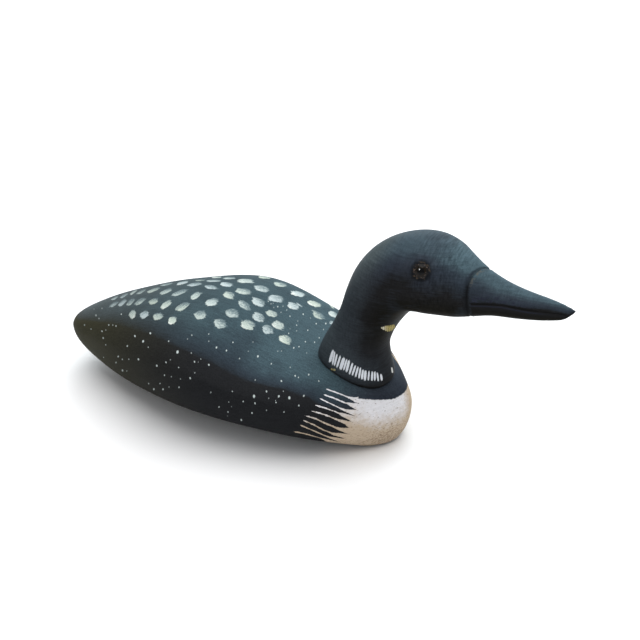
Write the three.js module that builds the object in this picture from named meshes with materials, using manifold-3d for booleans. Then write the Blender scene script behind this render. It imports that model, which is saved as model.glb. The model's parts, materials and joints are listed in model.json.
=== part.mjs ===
// A carved and painted wooden loon decoy, full size, in millimetres.
// The bird looks along +X, its right side is -Y, and its flat underside lies on z = 0.
import * as THREE from "three";
import { mergeVertices } from "three/addons/utils/BufferGeometryUtils.js";
import Module from "manifold-3d";

const wasm = await Module();
wasm.setup();

// Body
const bodyLength = 280;
const bodyWidth = 147;
const bodyHeight = 80;
const bodyRings = 44;
const upperFacets = 20; // over the back, from one widest line to the other
const flankFacets = 6; // from a widest line down to the edge of the underside
const soleFacets = 8; // across the underside
const crownRoundness = 2.2; // exponent of the section above the widest line: 2 is an ellipse
const flankRoundness = 2.1; // the same below it
const steepestSole = 75; // degrees round the flank at which the underside starts at the latest

// Head, neck and bill, carved from one piece
const headHeight = 104; // from the foot of the neck to the crown
const headTurn = 8.5; // degrees that the bird looks to its right
const footLength = 51;
const footWidth = 43;
const footPlace = 0.855; // middle of the foot, as a share of the body's length from the tail
const glueGap = 0.3;
const footSunk = 1.5; // of the neck before the body's own shape is cut out of it
const headRingsPerSection = 3;
const footRings = 3;
const grooveWidth = 2.2; // cut line round the base of the bill
const grooveDepth = 0.9;
const mouthDepth = 0.6;

// Glass eyes and their sockets
const eyeDiameter = 8.8;
const eyeRise = 2.1; // of the dome above the floor of the socket
const eyeDepth = 3; // of the glass below that floor
const eyeClearance = 0.3;
const socketDiameter = 13;
const socketDepth = 1.3;
const eyePlace = { section: 9.55, angle: 23 };
const roundFacets = 24;

// Body sections at equal steps of an arc from the tail (first) to the breast (last).
// half is a share of half the width; top, middle and under are shares of the height.
const bodySections = [
  { half: 0, top: 0.45, middle: 0.45, under: 0.45 },
  { half: 0.31, top: 0.56, middle: 0.46, under: 0.24 },
  { half: 0.54, top: 0.73, middle: 0.53, under: 0.06 },
  { half: 0.8, top: 0.905, middle: 0.61, under: -0.02 },
  { half: 1, top: 0.99, middle: 0.68, under: -0.03 },
  { half: 0.94, top: 0.76, middle: 0.585, under: -0.03 },
  { half: 0.715, top: 0.65, middle: 0.46, under: -0.04 },
  { half: 0.315, top: 0.5, middle: 0.3, under: -0.035 },
  { half: 0, top: 0.3, middle: 0.3, under: 0.3 },
];

// Head sections above the foot, up the neck, over the head and out along the bill.
// back is the point on the nape, crown and ridge of the bill; front the one on the throat and chin.
// Both are [forward, up] from the middle of the foot, and half is half the width: shares of headHeight.
const headSections = [
  { back: [-0.228, 0.094], front: [0.264, -0.066], half: 0.225 },
  { back: [-0.182, 0.19], front: [0.237, 0.035], half: 0.207 },
  { back: [-0.119, 0.3], front: [0.222, 0.146], half: 0.19 },
  { back: [-0.057, 0.432], front: [0.251, 0.247], half: 0.195 },
  { back: [-0.002, 0.587], front: [0.297, 0.335], half: 0.215 },
  { back: [0.077, 0.747], front: [0.347, 0.407], half: 0.24 },
  { back: [0.199, 0.882], front: [0.396, 0.464], half: 0.26 },
  { back: [0.36, 0.963], front: [0.442, 0.502], half: 0.265 },
  { back: [0.524, 0.992], front: [0.488, 0.515], half: 0.252 },
  { back: [0.664, 0.968], front: [0.545, 0.513], half: 0.215 },
  { back: [0.78, 0.913], front: [0.617, 0.512], half: 0.162 },
  { back: [0.888, 0.856], front: [0.705, 0.52], half: 0.12 },
  { back: [1.008, 0.812], front: [0.807, 0.552], half: 0.096 },
  { back: [1.128, 0.788], front: [0.93, 0.591], half: 0.08 },
  { back: [1.241, 0.777], front: [1.073, 0.611], half: 0.06 },
  { back: [1.332, 0.765], front: [1.213, 0.636], half: 0.036 },
  { back: [1.41, 0.744], front: [1.34, 0.672], half: 0.015 },
];
const headRoundness = 2.25;
const billRoundness = 2;
const billSection = 11.55; // from which the section is as round as the bill's, counted from the foot

// The groove stands upright on the cheeks and sweeps forward over the ridge: shares of headHeight.
const grooveForward = 0.819;
const grooveSweep = 0.055;
const grooveBend = 30; // degrees above the widest line where the sweep starts
const grooveReach = 2.6; // sections before and after it over which the rings lean with it

// The mouth, in degrees above the widest line, at even steps from the groove to the tip of the bill.
const mouthAngles = [-6, 7.5, 9.5, 11.5, 14];
const mouthSpread = 3.5; // degrees from the mouth's cut to its lips
const chinFacets = 7; // between the chin and the mouth
const cheekFacets = 8; // between the mouth and the crown or ridge

// Catmull-Rom value at t through an even list of numbers, straight on past both ends.
function splineAt(values, t) {
  const last = values.length - 1;
  const i = Math.min(Math.max(Math.floor(t), 0), last - 1);
  const u = t - i;
  const at = (k) => {
    if (k < 0) return 2 * values[0] - values[1];
    return k > last ? 2 * values[last] - values[last - 1] : values[k];
  };
  const [a, b, c, d] = [at(i - 1), at(i), at(i + 1), at(i + 2)];
  const bend = 2 * a - 5 * b + 4 * c - d;
  const twist = 3 * b - a - 3 * c + d;
  return 0.5 * (2 * b + (c - a) * u + bend * u ** 2 + twist * u ** 3);
}

const radians = THREE.MathUtils.degToRad;
const signedPower = (v, p) => Math.sign(v) * Math.abs(v) ** p;

// The body's section at t, from 0 at the tail to the last section at the breast.
function bodySection(t) {
  const read = (key) => splineAt(bodySections.map((s) => s[key]), t);
  const last = bodySections.length - 1;
  return {
    x: (bodyLength * (1 - Math.cos((Math.PI * t) / last))) / 2,
    half: (Math.max(read("half"), 0) * bodyWidth) / 2,
    top: read("top") * bodyHeight,
    middle: read("middle") * bodyHeight,
    under: read("under") * bodyHeight,
  };
}

// Height of the body's upper surface at a place in plan.
function bodyTop(x, y) {
  const share = THREE.MathUtils.clamp(x / bodyLength, 0, 1);
  const s = bodySection((Math.acos(1 - 2 * share) / Math.PI) * (bodySections.length - 1));
  const out = Math.min(Math.abs(y) / s.half, 1);
  const rise = (1 - out ** crownRoundness) ** (1 / crownRoundness);
  return s.middle + (s.top - s.middle) * rise;
}

// One ring round the body: over the back, down a flank, across the underside and up the other flank.
function bodyRing(t) {
  const s = bodySection(t);
  const ring = [];
  for (let i = 0; i <= upperFacets; i++) {
    const a = (Math.PI * i) / upperFacets;
    const y = s.half * signedPower(Math.cos(a), 2 / crownRoundness);
    const z = s.middle + (s.top - s.middle) * Math.sin(a) ** (2 / crownRoundness);
    ring.push(new THREE.Vector3(s.x, y, z));
  }
  const reach = s.middle / (s.middle - s.under);
  const meetsGround = reach < 1 ? Math.asin(reach ** (flankRoundness / 2)) : Math.PI / 2;
  const edge = Math.min(meetsGround, radians(steepestSole));
  const flankPoint = (a) => ({
    y: s.half * Math.cos(a) ** (2 / flankRoundness),
    z: s.middle - (s.middle - s.under) * Math.sin(a) ** (2 / flankRoundness),
  });
  const soleHalf = flankPoint(edge).y;
  const flank = [];
  for (let i = 1; i <= flankFacets; i++) {
    flank.push(flankPoint((edge * i) / flankFacets));
  }
  for (const p of flank) ring.push(new THREE.Vector3(s.x, -p.y, Math.max(p.z, 0)));
  for (let i = 1; i < soleFacets; i++) {
    const y = -soleHalf + (2 * soleHalf * i) / soleFacets;
    const drop = (1 - (Math.abs(y) / s.half) ** flankRoundness) ** (1 / flankRoundness);
    ring.push(new THREE.Vector3(s.x, y, Math.max(s.middle - (s.middle - s.under) * drop, 0)));
  }
  for (const p of flank.reverse()) ring.push(new THREE.Vector3(s.x, p.y, Math.max(p.z, 0)));
  return ring;
}

// A closed skin over rings of equal count, with a point at each end.
function skin(first, rings, last) {
  const count = rings[0].length;
  const points = [first, ...rings.flat(), last];
  const position = new Float32Array(points.flatMap((p) => [p.x, p.y, p.z]));
  const index = [];
  const at = (r, i) => 1 + r * count + (i % count);
  for (let i = 0; i < count; i++) {
    index.push(0, at(0, i + 1), at(0, i));
    for (let r = 0; r < rings.length - 1; r++) {
      index.push(at(r, i), at(r, i + 1), at(r + 1, i));
      index.push(at(r, i + 1), at(r + 1, i + 1), at(r + 1, i));
    }
    index.push(points.length - 1, at(rings.length - 1, i), at(rings.length - 1, i + 1));
  }
  const geometry = new THREE.BufferGeometry();
  geometry.setAttribute("position", new THREE.BufferAttribute(position, 3));
  geometry.setIndex(index);
  return geometry;
}

function bodyGeometry() {
  const steps = bodySections.length - 1;
  const rings = [];
  for (let i = 1; i < bodyRings; i++) rings.push(bodyRing((steps * i) / bodyRings));
  const tail = bodySection(0);
  const breast = bodySection(steps);
  const end = (s) => new THREE.Vector3(s.x, 0, s.middle);
  return skin(end(tail), rings, end(breast));
}

// The middle of the neck's foot, on the body.
const footX = footPlace * bodyLength;
const footMiddle = new THREE.Vector3(footX, 0, bodyTop(footX, 0));
const turn = radians(headTurn);

// Turns a point of the head about the upright line through the middle of the foot.
function turned(forward, side, z) {
  return new THREE.Vector3(
    footX + forward * Math.cos(turn) + side * Math.sin(turn),
    -forward * Math.sin(turn) + side * Math.cos(turn),
    z,
  );
}

const footEnd = (forward) => {
  const p = turned(forward, 0, 0);
  return [forward, bodyTop(p.x, p.y) - footMiddle.z];
};
const scaled = (pair) => pair.map((v) => v * headHeight);
const allHeadSections = [
  { back: footEnd(-footLength / 2), front: footEnd(footLength / 2), half: footWidth / 2 },
  ...headSections.map((s) => ({
    back: scaled(s.back),
    front: scaled(s.front),
    half: s.half * headHeight,
  })),
];
const headEnd = allHeadSections.length - 1;

// The head's section at t, from 0 at the foot to headEnd at the tip of the bill.
function headSection(t) {
  const read = (get) => splineAt(allHeadSections.map(get), t);
  return {
    back: [read((s) => s.back[0]), read((s) => s.back[1])],
    front: [read((s) => s.front[0]), read((s) => s.front[1])],
    half: read((s) => s.half),
  };
}

const billShare = (t) => THREE.MathUtils.smoothstep(t, billSection - 1.5, billSection);

// A place on the head's surface before the head is turned: angle is 90 degrees at the back
// and -90 at the front, and inset pulls it in from the surface.
function headPlace(t, angle, inset = 0) {
  const s = headSection(t);
  const n = THREE.MathUtils.lerp(headRoundness, billRoundness, billShare(t));
  const depth = Math.hypot(s.back[0] - s.front[0], s.back[1] - s.front[1]) / 2;
  const a = radians(angle);
  const along = signedPower(Math.sin(a), 2 / n) * (1 - inset / depth);
  const side = signedPower(Math.cos(a), 2 / n) * (s.half - inset);
  const forward = (s.back[0] + s.front[0]) / 2 + (along * (s.back[0] - s.front[0])) / 2;
  const up = (s.back[1] + s.front[1]) / 2 + (along * (s.back[1] - s.front[1])) / 2;
  return { forward, side, up };
}

function headPoint(t, angle, inset = 0) {
  const { forward, side, up } = headPlace(t, angle, inset);
  return turned(forward, side, footMiddle.z + up);
}

// The section of the front half of the head at which the groove crosses an angle.
function grooveSectionAt(angle) {
  const bend = Math.max(angle - grooveBend, 0) / (90 - grooveBend);
  const forward = (grooveForward + grooveSweep * bend ** 1.5) * headHeight;
  let [low, high] = [headEnd / 2, headEnd];
  for (let i = 0; i < 30; i++) {
    const t = (low + high) / 2;
    if (headPlace(t, angle).forward < forward) low = t;
    else high = t;
  }
  return low;
}

const grooveSection = grooveSectionAt(0);

// Near the groove the rings lean, so that they follow it.
function leaning(t, angle) {
  const before = THREE.MathUtils.smoothstep(t, grooveSection - grooveReach, grooveSection);
  const after = THREE.MathUtils.smoothstep(t, grooveSection, grooveSection + grooveReach);
  return t + before * (1 - after) * (grooveSectionAt(angle) - grooveSection);
}

function mouthAngle(t) {
  const share = Math.max(t - grooveSection, 0) / (headEnd - grooveSection);
  return splineAt(mouthAngles, share * (mouthAngles.length - 1));
}

// Angles from the chin up to the crown, closer at the mouth, with the cut's place marked.
function halfAngles(t) {
  const mouth = mouthAngle(t);
  const angles = [];
  for (let i = 0; i < chinFacets; i++) {
    angles.push({ angle: -90 + ((mouth - mouthSpread + 90) * i) / chinFacets });
  }
  angles.push({ angle: mouth - mouthSpread });
  angles.push({ angle: mouth, cut: true });
  for (let i = 0; i < cheekFacets; i++) {
    angles.push({ angle: mouth + mouthSpread + ((90 - mouth - mouthSpread) * i) / cheekFacets });
  }
  return angles;
}

function headRing(t, inset = 0) {
  const opening = THREE.MathUtils.smoothstep(t, grooveSection, grooveSection + 0.4);
  const closing = 1 - THREE.MathUtils.smoothstep(t, headEnd - 1, headEnd - 0.4);
  const half = halfAngles(t);
  const cut = (a) => inset + (a.cut ? mouthDepth * opening * closing : 0);
  const left = half.map((a) => headPoint(leaning(t, a.angle), a.angle, cut(a)));
  const right = half.slice(1).map((a) => headPoint(leaning(t, a.angle), 180 - a.angle, cut(a)));
  return [...left, headPoint(leaning(t, 90), 90, inset), ...right.reverse()];
}

// The ring on which the neck ends, just inside the body, drawn in to the foot's middle by a share.
function footRing(share) {
  return headRing(0).map((p) => {
    const x = footX + (p.x - footX) * share;
    const y = p.y * share;
    return new THREE.Vector3(x, y, bodyTop(x, y) - footSunk);
  });
}

// The lowest part of the neck flares out until it follows the body.
function neckRing(t) {
  const plain = headRing(t);
  if (t >= 1) return plain;
  const start = headRing(0);
  const foot = footRing(1);
  return plain.map((p, i) => p.add(foot[i].clone().sub(start[i]).multiplyScalar((1 - t) ** 2)));
}

function headGeometry() {
  const rings = [];
  for (let i = 1; i <= footRings; i++) rings.push(footRing(i / footRings));
  const grooveHalf = grooveWidth / 2 / sectionSpacing(grooveSection);
  const steps = headEnd * headRingsPerSection;
  for (let i = 1; i < steps; i++) {
    const t = i / headRingsPerSection;
    const clear = Math.abs(t - grooveSection) > 1.5 * grooveHalf;
    if (clear) rings.push(neckRing(t));
    const next = (i + 1) / headRingsPerSection;
    if (t < grooveSection && next >= grooveSection) {
      rings.push(headRing(grooveSection - grooveHalf));
      rings.push(headRing(grooveSection, grooveDepth));
      rings.push(headRing(grooveSection + grooveHalf));
    }
  }
  rings.push(headRing(headEnd));
  const tip = headSection(headEnd);
  const middle = [0, 1].map((k) => (tip.back[k] + tip.front[k]) / 2);
  const first = new THREE.Vector3(footX, 0, footMiddle.z - footSunk);
  return skin(first, rings, turned(middle[0], 0, footMiddle.z + middle[1]));
}

// Millimetres along the head from one section to the next, measured on the middle line.
function sectionSpacing(t) {
  const [a, b] = [headSection(t - 0.5), headSection(t + 0.5)];
  const middle = (s, k) => (s.back[k] + s.front[k]) / 2;
  return Math.hypot(middle(b, 0) - middle(a, 0), middle(b, 1) - middle(a, 1));
}

function solidOf(geometry) {
  const plain = geometry.clone();
  for (const name of Object.keys(plain.attributes)) {
    if (name !== "position") plain.deleteAttribute(name);
  }
  const merged = mergeVertices(plain, 1e-4);
  return new wasm.Manifold(new wasm.Mesh({
    numProp: 3,
    vertProperties: merged.attributes.position.array,
    triVerts: new Uint32Array(merged.index.array),
  }));
}

function geometryOf(solid) {
  const mesh = solid.getMesh();
  const geometry = new THREE.BufferGeometry();
  geometry.setAttribute("position", new THREE.BufferAttribute(mesh.vertProperties, 3));
  geometry.setIndex(new THREE.BufferAttribute(mesh.triVerts, 1));
  return geometry;
}

// Where an eye sits: the point on the head's surface and the way that the eye looks.
function eyeSeat(side) {
  const angle = side < 0 ? 180 - eyePlace.angle : eyePlace.angle;
  const point = headPoint(eyePlace.section, angle);
  const step = 0.3;
  const along = headPoint(eyePlace.section + step, angle).sub(headPoint(eyePlace.section - step, angle));
  const round = headPoint(eyePlace.section, angle + 5).sub(headPoint(eyePlace.section, angle - 5));
  const out = along.cross(round).normalize();
  if (out.y * side < 0) out.negate();
  return { point, out };
}

// Stands a turned shape, made about +Y, on an eye's seat with its y = 0 at the head's surface.
function placedAtEye(geometry, side) {
  const seat = eyeSeat(side);
  const up = new THREE.Vector3(0, 1, 0);
  geometry.applyQuaternion(new THREE.Quaternion().setFromUnitVectors(up, seat.out));
  return geometry.translate(seat.point.x, seat.point.y, seat.point.z);
}

// The dish round the eye and the hole for the glass, as one cutter that stands clear of the head.
function socketCutter() {
  const radius = socketDiameter / 2;
  const bowl = (radius ** 2 + socketDepth ** 2) / (2 * socketDepth);
  const floorAt = (r) => bowl - socketDepth - Math.sqrt(bowl ** 2 - r ** 2);
  const hole = eyeDiameter / 2 + eyeClearance;
  const floor = -socketDepth - eyeDepth - eyeClearance;
  const rim = [0, 0.5, 1].map((s) => THREE.MathUtils.lerp(hole, radius, s));
  const profile = [[0, floor], [hole, floor], ...rim.map((r) => [r, floorAt(r)]),
    [radius + socketDepth, eyeRise], [0, eyeRise]];
  return new THREE.LatheGeometry(profile.map(([r, y]) => new THREE.Vector2(r, y)), roundFacets);
}

// The glass: a low dome on a short shank with a flat back.
function eyeGeometry() {
  const radius = eyeDiameter / 2;
  const dome = (radius ** 2 + eyeRise ** 2) / (2 * eyeRise);
  const domeSteps = 5;
  const profile = [[0, -socketDepth - eyeDepth], [radius, -socketDepth - eyeDepth]];
  for (let i = 0; i <= domeSteps; i++) {
    const r = radius * Math.cos((Math.PI / 2) * (i / domeSteps));
    const y = Math.sqrt(dome ** 2 - r ** 2) - dome + eyeRise - socketDepth;
    profile.push([i === domeSteps ? 0 : r, y]);
  }
  return new THREE.LatheGeometry(profile.map(([r, y]) => new THREE.Vector2(r, y)), roundFacets);
}

// The head sits on the body's own shape, raised by the gap that the glue fills.
function carvedHead() {
  const seat = solidOf(bodyGeometry()).translate([0, 0, glueGap]);
  let solid = solidOf(headGeometry()).subtract(seat);
  for (const side of [-1, 1]) {
    solid = solid.subtract(solidOf(placedAtEye(socketCutter(), side)));
  }
  return geometryOf(solid);
}

const bodyPaint = new THREE.MeshStandardMaterial({ color: 0x2b363c, roughness: 0.55, metalness: 0 });
const headPaint = new THREE.MeshStandardMaterial({ color: 0x20272b, roughness: 0.5, metalness: 0 });
const eyeGlass = new THREE.MeshStandardMaterial({ color: 0x2a120c, roughness: 0.08, metalness: 0 });

function piece(name, geometry, material) {
  const mesh = new THREE.Mesh(geometry, material);
  mesh.name = name;
  return mesh;
}

const decoy = new THREE.Group();
decoy.add(piece("body", bodyGeometry(), bodyPaint));
decoy.add(piece("head", carvedHead(), headPaint));
decoy.add(piece("eye_right", placedAtEye(eyeGeometry(), -1), eyeGlass));
decoy.add(piece("eye_left", placedAtEye(eyeGeometry(), 1), eyeGlass));

// The part's origin is the middle of the bottom of its box.
const box = new THREE.Box3().setFromObject(decoy, true);
const centre = box.getCenter(new THREE.Vector3());
const placed = new THREE.Group();
decoy.position.set(-centre.x, -centre.y, -box.min.z);
placed.add(decoy);

export default placed;
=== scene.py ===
import json
import math
import random
import bpy
import numpy as np
from mathutils import Matrix, Vector
from mathutils.bvhtree import BVHTree

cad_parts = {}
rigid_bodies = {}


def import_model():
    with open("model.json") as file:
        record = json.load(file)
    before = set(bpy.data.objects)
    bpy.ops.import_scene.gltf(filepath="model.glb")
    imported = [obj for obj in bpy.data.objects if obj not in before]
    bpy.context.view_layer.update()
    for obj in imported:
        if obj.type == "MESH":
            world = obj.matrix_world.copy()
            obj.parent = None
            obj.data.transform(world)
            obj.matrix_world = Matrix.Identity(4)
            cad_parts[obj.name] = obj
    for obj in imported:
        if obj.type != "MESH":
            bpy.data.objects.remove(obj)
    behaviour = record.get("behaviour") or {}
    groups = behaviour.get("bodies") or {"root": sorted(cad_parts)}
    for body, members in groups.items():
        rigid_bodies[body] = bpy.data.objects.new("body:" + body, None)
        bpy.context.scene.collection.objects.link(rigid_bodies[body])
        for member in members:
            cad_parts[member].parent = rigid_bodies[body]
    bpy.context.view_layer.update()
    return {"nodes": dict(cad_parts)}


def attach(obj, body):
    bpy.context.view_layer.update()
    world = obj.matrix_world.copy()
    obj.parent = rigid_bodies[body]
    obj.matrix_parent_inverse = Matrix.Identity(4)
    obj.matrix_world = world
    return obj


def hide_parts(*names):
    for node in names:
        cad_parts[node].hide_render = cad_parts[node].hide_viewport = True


# Loon decoy: a carved wooden body with a separate head, black paint with white marks, glass eyes.
# Metres; the bird looks along +X, its right side is -Y and it stands on z = 0.
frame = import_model()
random.seed(7)
mm = 0.001
far = 1.0  # more than any distance here

# The camera stands where the photograph's did. Painted marks are measured in its pixels, y down.
photo = {
    "azimuth": 27.675,  # degrees
    "elevation": 26.922,
    "roll": -0.908,
    "distance": 0.6,
    "target": (0.02107, 0.0, 0.07656),
    "lens": 50.0,  # mm, on a sensor 36 mm wide
    "sensor": 36.0,
    "pixels": 640,
    "nearest": 0.01,
}


def cameraAxes():
    a, e, r = (math.radians(photo[key]) for key in ("azimuth", "elevation", "roll"))
    back = Vector((math.sin(a) * math.cos(e), -math.cos(a) * math.cos(e), math.sin(e)))
    level = Vector((math.cos(a), math.sin(a), 0))
    upright = back.cross(level)
    right = level * math.cos(r) + upright * math.sin(r)
    up = upright * math.cos(r) - level * math.sin(r)
    return right, up, back


right, up, back = cameraAxes()
viewPoint = Vector(photo["target"]) + back * photo["distance"]
focal = photo["lens"] / photo["sensor"] * photo["pixels"]
middle = photo["pixels"] / 2


def pixelsOf(points):
    d = points - np.array(viewPoint)
    depth = -d @ np.array(back)
    return middle + focal * (d @ np.array(right)) / depth, middle - focal * (d @ np.array(up)) / depth


def rayThrough(x, y):
    return ((x - middle) * right - (y - middle) * up - focal * back).normalized()


def makeCamera():
    data = bpy.data.cameras.new("camera")
    data.lens = photo["lens"]
    data.sensor_width = photo["sensor"]
    data.clip_start = photo["nearest"]
    camera = bpy.data.objects.new("camera", data)
    bpy.context.collection.objects.link(camera)
    turn = Matrix((right, up, back)).transposed().to_4x4()
    camera.matrix_world = Matrix.Translation(viewPoint) @ turn
    bpy.context.scene.camera = camera


makeCamera()
print("camera set")


# Small helpers for objects
def selectOnly(thing):
    bpy.ops.object.select_all(action="DESELECT")
    thing.select_set(True)
    bpy.context.view_layer.objects.active = thing


def applyModifier(thing, kind, **values):
    modifier = thing.modifiers.new(kind.lower(), kind)
    for key, value in values.items():
        setattr(modifier, key, value)
    selectOnly(thing)
    bpy.ops.object.modifier_apply(modifier=modifier.name)


def duplicate(thing, name):
    selectOnly(thing)
    bpy.ops.object.duplicate()
    piece = bpy.context.active_object
    piece.name = name
    piece.data.name = name
    return piece


# An array of one property of all vertices, faces or corners
def readAll(parts, key, width=3):
    values = np.empty(len(parts) * width)
    parts.foreach_get(key, values)
    return values.reshape(-1, width) if width > 1 else values


def vertexPoints(piece):
    return readAll(piece.data.vertices, "co")


def facePoints(piece):
    return readAll(piece.data.polygons, "center")


# Selects the chosen vertices or faces, and leaves the piece in edit mode
def editWhere(piece, kind, chosen):
    selectOnly(piece)
    bpy.ops.object.mode_set(mode="EDIT")
    bpy.ops.mesh.select_mode(type=kind)
    bpy.ops.mesh.select_all(action="DESELECT")
    bpy.ops.object.mode_set(mode="OBJECT")
    parts = piece.data.vertices if kind == "VERT" else piece.data.polygons
    parts.foreach_set("select", chosen)
    bpy.ops.object.mode_set(mode="EDIT")


def editAll(piece):
    selectOnly(piece)
    bpy.ops.object.mode_set(mode="EDIT")
    bpy.ops.mesh.select_all(action="SELECT")


def leaveEdit():
    bpy.ops.object.mode_set(mode="OBJECT")


def surfaceOf(piece):
    return BVHTree.FromObject(piece, bpy.context.evaluated_depsgraph_get())


# Gap between each point and a surface, measured only for points below a height
def gapsTo(surface, points, highest):
    gaps = np.full(len(points), far)
    for index in np.nonzero(points[:, 2] < highest)[0]:
        gaps[index] = surface.find_nearest(points[index])[3]
    return gaps


# How the facets of a solid are joined, and how the skin over them is smoothed
facets = {"merge": 1e-6, "flatness": 1.2, "smoothing": 0.5, "lastSmoothing": 2}


def copyOfNode(node, name):
    piece = duplicate(frame["nodes"][node], name)
    bpy.ops.object.parent_clear(type="CLEAR_KEEP_TRANSFORM")
    for key in list(piece.keys()):
        del piece[key]
    piece.data.materials.clear()
    editAll(piece)
    bpy.ops.mesh.remove_doubles(threshold=facets["merge"])
    flatness = facets["flatness"]
    bpy.ops.mesh.tris_convert_to_quads(face_threshold=flatness, shape_threshold=flatness)
    leaveEdit()
    return piece


# Rounds the facets of a form away and lays an even skin of small faces on it
def smoothSkin(form, name, settings):
    levels, factor = settings["levels"], facets["smoothing"]
    applyModifier(form, "SUBSURF", levels=levels, render_levels=levels)
    piece = duplicate(form, name)
    applyModifier(piece, "REMESH", mode="VOXEL", voxel_size=settings["grain"])
    applyModifier(piece, "SMOOTH", factor=factor, iterations=settings["evening"])
    applyModifier(piece, "SHRINKWRAP", target=form, wrap_method="NEAREST_SURFACEPOINT")
    applyModifier(piece, "SMOOTH", factor=factor, iterations=facets["lastSmoothing"])
    bpy.data.objects.remove(form)
    selectOnly(piece)
    bpy.ops.object.shade_smooth()
    return piece


# Pulls the open edge in hand along z, closes it with a face and turns all faces outward
def closeEnd(depth):
    bpy.ops.mesh.select_mode(type="EDGE")
    bpy.ops.mesh.select_non_manifold(extend=False)
    bpy.ops.mesh.extrude_region_move(TRANSFORM_OT_translate={"value": (0, 0, -depth)})
    bpy.ops.mesh.edge_face_add()
    bpy.ops.mesh.select_all(action="SELECT")
    bpy.ops.mesh.normals_make_consistent(inside=False)
    leaveEdit()


def closePiece(piece, node):
    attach(piece, "root")
    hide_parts(node)


# Body
body = {"levels": 2, "grain": 1.25 * mm, "evening": 4}

bodySkin = smoothSkin(copyOfNode("body", "body_form"), "carved_body", body)
bodySurface = surfaceOf(bodySkin)
print("body:", len(bodySkin.data.polygons), "faces")

# Head: the neck's middle line leaves the body at foot, and the head is turned to the bird's right
head = {
    "levels": 2,
    "grain": 1.0 * mm,
    "evening": 3,
    "foot": (0.04719, 0, 0),
    "turn": 8.5,  # degrees
    "highestFoot": 0.07,
    "sunk": 3 * mm,  # of the neck inside the body
    "footGap": 0.7 * mm,
    "footChamfer": 0.5 * mm,
    "chamferReach": 1.3 * mm,
    "facingBody": -0.8,  # at most, of the facets under the foot
    "refined": [(1.8 * mm, 8 * mm), (1.2 * mm, 6.6 * mm)],  # from a cut's edge, and from an eye's axis
    "footRefined": 2 * mm,
    "collar": (0.045, 0.075),  # heights between which the neck's strokes stand close together
}
groove = {  # round the base of the bill: upright on the cheeks, and swept forward over the ridge
    "forward": 84.9 * mm,  # of the neck's foot
    "cheek": 11.2,  # mm from the middle, where the sweep starts
    "apex": 3.5,  # mm from the middle to the left, where it ends
    "sweep": 0.42 * mm,  # for each of those mm, to the power of bend
    "bend": 1.04,
    "widest": 0.1232,  # height of the bill's widest line
    "lowest": 0.1,
    "width": 3.2 * mm,
    "ridgeWidth": 2.0 * mm,
    "depth": 0.65 * mm,
    "blend": 3 * mm,  # height over which the sweep sets in
    "margin": 0.6 * mm,  # more than round the mouth
    "profile": 1.3,  # 1 would be a plain V
}
# The same of the groove in the CAD
facetGroove = {"forward": 85.2 * mm, "cheek": 11.65, "apex": 0, "sweep": 0.235 * mm, "bend": 1.3}
filling = {"near": 0.6 * mm, "rise": 0.9 * mm}
mouth = {  # pixels along the cut between the two halves of the bill
    "line": [
        (471.6, 304.5), (486, 304.6), (501.2, 305.5), (527.8, 310.6), (547.1, 312.7), (562.4, 314.7)],
    "width": 1.5 * mm,
    "depth": 0.5 * mm,
    "fade": 5 * mm,
}
socket = {  # seat is on the head's surface in the middle of the eye
    "right": {"seat": (0.10345, -0.03128, 0.1404), "facing": (0.1939, -0.9387, 0.2849)},
    "left": {"seat": (0.11014, 0.01346, 0.1404), "facing": (0.46, 0.841, 0.285)},
    "cleared": 6.9 * mm,
    "radius": 6.5 * mm,
    "depth": 1.3 * mm,
}
headTurn = math.radians(head["turn"])
headFoot = np.array(head["foot"])
headForward = np.array((math.cos(headTurn), -math.sin(headTurn), 0))
headSide = np.array((math.sin(headTurn), math.cos(headTurn), 0))


# Distance along the head from the groove's middle, and how far up the ridge that is, from 0 to 1
def fromGroove(points, path=groove):
    d = points - headFoot
    inward = np.maximum(path["cheek"] + path["apex"] - np.abs(d @ headSide / mm - path["apex"]), 0)
    inward *= np.clip((points[:, 2] - groove["widest"]) / groove["blend"], 0, 1)
    distance = d @ headForward - path["forward"] - path["sweep"] * inward ** path["bend"]
    distance[points[:, 2] < groove["lowest"]] = far
    return distance, np.minimum(inward / path["cheek"], 1)


# How deep the groove is at each point, from 0 to 1
def grooveShare(points):
    distance, ridge = fromGroove(points)
    half = (groove["width"] + (groove["ridgeWidth"] - groove["width"]) * ridge) / 2
    return np.maximum(1 - np.abs(distance) / half, 0) ** groove["profile"]


# Distance from an eye's axis, and height above its seat
def fromEye(points, eye):
    d = points - np.array(socket[eye]["seat"])
    height = d @ np.array(socket[eye]["facing"])
    radius = np.sqrt(np.maximum((d ** 2).sum(1) - height ** 2, 0))
    return np.where(np.abs(height) < 2 * socket["radius"], radius, far), height


def eyeRadius(points):
    return np.minimum(fromEye(points, "right")[0], fromEye(points, "left")[0])


# Takes the faceted sockets, groove and foot off the form, so that they can be cut afresh in a fine skin
def plainHead():
    form = copyOfNode("head", "head_form")
    editWhere(form, "VERT", eyeRadius(vertexPoints(form)) < socket["cleared"])
    bpy.ops.mesh.delete(type="VERT")
    bpy.ops.mesh.select_all(action="SELECT")
    bpy.ops.mesh.fill_holes(sides=0)
    bpy.ops.mesh.normals_make_consistent(inside=False)
    leaveEdit()
    points = vertexPoints(form)
    inGroove = np.abs(fromGroove(points, facetGroove)[0]) < filling["near"]
    points[inGroove] += readAll(form.data.vertices, "normal")[inGroove] * filling["rise"]
    form.data.vertices.foreach_set("co", points.ravel())
    underFoot = []
    for face in form.data.polygons:
        normal, gap = bodySurface.find_nearest(face.center)[1::2]
        underFoot.append(gap < head["footGap"] and face.normal.dot(normal) < head["facingBody"])
    editWhere(form, "FACE", underFoot)
    bpy.ops.mesh.delete(type="FACE")
    closeEnd(head["sunk"])
    return form


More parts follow.
